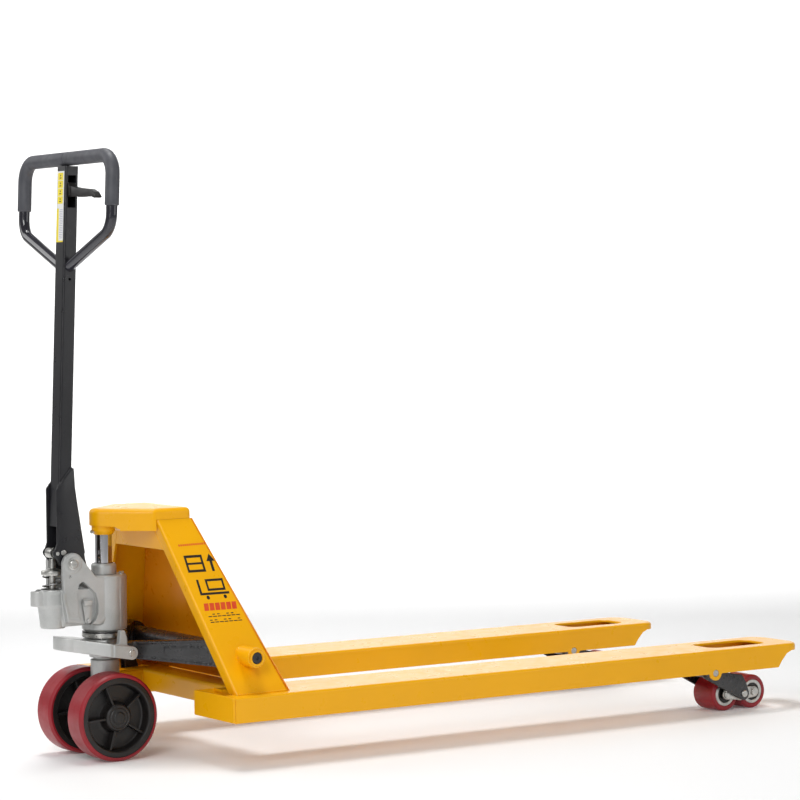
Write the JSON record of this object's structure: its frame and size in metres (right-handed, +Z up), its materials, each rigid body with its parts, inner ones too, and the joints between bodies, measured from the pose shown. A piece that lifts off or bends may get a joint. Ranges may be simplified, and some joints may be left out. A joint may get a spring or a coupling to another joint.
{
  "type": "hand pallet jack",
  "caption": "Hand pallet jack with long forks, hydraulic lifting pump, tow handle with loop grip, twin steer wheels and tandem load rollers.",
  "frame": {"origin": "on the floor under the middle of the jack's bounding box", "axes": "+X along the forks towards their tips, +Y towards the left fork seen from the handle, +Z up"},
  "size_m": [1.7746, 0.685, 1.2458],
  "materials": {
    "yellow_paint": "gloss powder coat",
    "red_polyurethane": "satin moulded polyurethane",
    "black_nylon": "satin moulded nylon",
    "cast_silver_paint": "painted sand casting",
    "black_paint": "semi-gloss powder coat",
    "grip_rubber": "satin rubber",
    "chrome": "hard chrome",
    "zinc_steel": "zinc plated",
    "black_casting": "painted casting",
    "spring_steel": "drawn wire"
  },
  "bodies": {
    "steering_base": {"steering_base": "cast_silver_paint", "lug_pin_left": "zinc_steel", "lug_pin_right": "zinc_steel", "lower_bearing_race": "zinc_steel"},
    "chassis": {"fork_left": "yellow_paint", "fork_right": "yellow_paint", "heel_plate_left": "yellow_paint", "heel_plate_right": "yellow_paint", "side_panel_left": "yellow_paint", "side_panel_right": "yellow_paint", "front_plate": "yellow_paint", "rear_rib": "yellow_paint", "head_casting": "yellow_paint", "head_screw": "zinc_steel", "ram": "chrome", "cross_beam": "yellow_paint", "rocker_shaft": "black_paint", "roller_frame_pin_left": "zinc_steel", "roller_frame_pin_right": "zinc_steel"},
    "rocker": {"rocker_arm": "black_casting"},
    "pump": {"pump_body": "cast_silver_paint", "ram_gland": "cast_silver_paint", "oil_filler_plug": "zinc_steel", "upper_bearing_race": "zinc_steel", "wheel_axle": "zinc_steel", "handle_pivot_pin": "zinc_steel", "plunger_spring": "spring_steel"},
    "plunger": {"pump_plunger": "zinc_steel"},
    "valve_lever": {"valve_lever": "cast_silver_paint"},
    "handle": {"handle_yoke": "black_paint", "handle_tube": "black_paint", "handle_loop": "black_paint", "grip_left": "grip_rubber", "grip_right": "grip_rubber", "cam_roller_pin": "zinc_steel", "control_lever_pin": "zinc_steel"},
    "cam_roller": {"cam_roller": "zinc_steel"},
    "control_lever": {"control_lever": "black_nylon"},
    "release_rod": {"release_rod": "zinc_steel"},
    "steer_wheel_left": {"steer_wheel_hub_left": "black_nylon", "steer_wheel_tyre_left": "red_polyurethane"},
    "push_rod_left": {"push_rod_left": "black_paint"},
    "roller_frame_left": {"roller_frame_left": "black_casting"},
    "bogie_left": {"bogie_left": "zinc_steel"},
    "load_roller_rear_left": {"load_roller_rear_left": "red_polyurethane"},
    "load_roller_front_left": {"load_roller_front_left": "red_polyurethane"},
    "steer_wheel_right": {"steer_wheel_hub_right": "black_nylon", "steer_wheel_tyre_right": "red_polyurethane"},
    "push_rod_right": {"push_rod_right": "black_paint"},
    "roller_frame_right": {"roller_frame_right": "black_casting"},
    "bogie_right": {"bogie_right": "zinc_steel"},
    "load_roller_rear_right": {"load_roller_rear_right": "red_polyurethane"},
    "load_roller_front_right": {"load_roller_front_right": "red_polyurethane"}
  },
  "joints": [
    {"name": "fork_lift", "type": "slide", "parent": "steering_base", "child": "chassis", "axis": [0, 0, 1], "range_m": [-0.057, 0.054]},
    {"name": "rocker_swing", "type": "hinge", "parent": "chassis", "child": "rocker", "pos_m": [-0.54125, 0, 0.218], "axis": [0, 1, 0], "range_deg": [-24, 22]},
    {"name": "steer", "type": "hinge", "parent": "steering_base", "child": "pump", "pos_m": [-0.72025, 0, 0.2468], "axis": [0, 0, 1], "range_deg": [-65, 65]},
    {"name": "handle_tilt", "type": "hinge", "parent": "pump", "child": "handle", "pos_m": [-0.81125, 0, 0.4045], "axis": [0, -1, 0], "range_deg": [0, 67.5], "stiffness_Nm_per_rad": 28, "springref_deg": -20.05},
    {"name": "plunger_stroke", "type": "slide", "parent": "pump", "child": "plunger", "axis": [0, 0, -1], "range_m": [0, 0.0385], "deforming": ["plunger_spring"]},
    {"name": "cam_roller_spin", "type": "hinge", "parent": "handle", "child": "cam_roller", "pos_m": [-0.83825, 0, 0.426], "axis": [0, 1, 0], "continuous": true},
    {"name": "control_lever_swing", "type": "hinge", "parent": "handle", "child": "control_lever", "pos_m": [-0.79203, -0.012, 1.165], "axis": [1, 0, 0], "range_deg": [-8, 14]},
    {"name": "release_rod_slide", "type": "slide", "parent": "handle", "child": "release_rod", "axis": [0.0402, 0, 0.9992], "range_m": [-0.005, 0.003], "stiffness_N_per_m": 200, "springref_m": 0.0061},
    {"name": "valve_lever_swing", "type": "hinge", "parent": "pump", "child": "valve_lever", "pos_m": [-0.77525, -0.036, 0.2855], "axis": [0, 1, 0], "range_deg": [-4, 6]},
    {"name": "steer_wheel_left_spin", "type": "hinge", "parent": "pump", "child": "steer_wheel_left", "pos_m": [-0.74025, 0.069, 0.09], "axis": [0, 1, 0], "continuous": true},
    {"name": "push_rod_left_slide", "type": "slide", "parent": "chassis", "child": "push_rod_left", "axis": [1, 0, 0], "range_m": [-0.019, 0.017]},
    {"name": "roller_frame_left_swing", "type": "hinge", "parent": "chassis", "child": "roller_frame_left", "pos_m": [0.63175, 0.2625, 0.095], "axis": [0, 1, 0], "range_deg": [-35, 31]},
    {"name": "bogie_left_rock", "type": "hinge", "parent": "roller_frame_left", "child": "bogie_left", "pos_m": [0.73575, 0.2625, 0.038], "axis": [0, 1, 0], "range_deg": [-31, 35]},
    {"name": "load_roller_rear_left_spin", "type": "hinge", "parent": "bogie_left", "child": "load_roller_rear_left", "pos_m": [0.69575, 0.2625, 0.038], "axis": [0, 1, 0], "continuous": true},
    {"name": "load_roller_front_left_spin", "type": "hinge", "parent": "bogie_left", "child": "load_roller_front_left", "pos_m": [0.77575, 0.2625, 0.038], "axis": [0, 1, 0], "continuous": true},
    {"name": "steer_wheel_right_spin", "type": "hinge", "parent": "pump", "child": "steer_wheel_right", "pos_m": [-0.74025, -0.069, 0.09], "axis": [0, 1, 0], "continuous": true},
    {"name": "push_rod_right_slide", "type": "slide", "parent": "chassis", "child": "push_rod_right", "axis": [1, 0, 0], "range_m": [-0.019, 0.017]},
    {"name": "roller_frame_right_swing", "type": "hinge", "parent": "chassis", "child": "roller_frame_right", "pos_m": [0.63175, -0.2625, 0.095], "axis": [0, 1, 0], "range_deg": [-35, 31]},
    {"name": "bogie_right_rock", "type": "hinge", "parent": "roller_frame_right", "child": "bogie_right", "pos_m": [0.73575, -0.2625, 0.038], "axis": [0, 1, 0], "range_deg": [-31, 35]},
    {"name": "load_roller_rear_right_spin", "type": "hinge", "parent": "bogie_right", "child": "load_roller_rear_right", "pos_m": [0.69575, -0.2625, 0.038], "axis": [0, 1, 0], "continuous": true},
    {"name": "load_roller_front_right_spin", "type": "hinge", "parent": "bogie_right", "child": "load_roller_front_right", "pos_m": [0.77575, -0.2625, 0.038], "axis": [0, 1, 0], "continuous": true}
  ],
  "couplings": [
    {"joint": "rocker_swing", "follows": "fork_lift", "rad_per_m": -6},
    {"joint": "plunger_stroke", "follows": "handle_tilt", "m_per_rad": 0.0325},
    {"joint": "release_rod_slide", "follows": "control_lever_swing", "m_per_rad": 0.01},
    {"joint": "valve_lever_swing", "follows": "control_lever_swing", "ratio": 0.3},
    {"joint": "push_rod_left_slide", "follows": "fork_lift", "ratio": 0.285},
    {"joint": "roller_frame_left_swing", "follows": "fork_lift", "rad_per_m": 9.6},
    {"joint": "bogie_left_rock", "follows": "fork_lift", "rad_per_m": -9.6},
    {"joint": "push_rod_right_slide", "follows": "fork_lift", "ratio": 0.285},
    {"joint": "roller_frame_right_swing", "follows": "fork_lift", "rad_per_m": 9.6},
    {"joint": "bogie_right_rock", "follows": "fork_lift", "rad_per_m": -9.6}
  ]
}
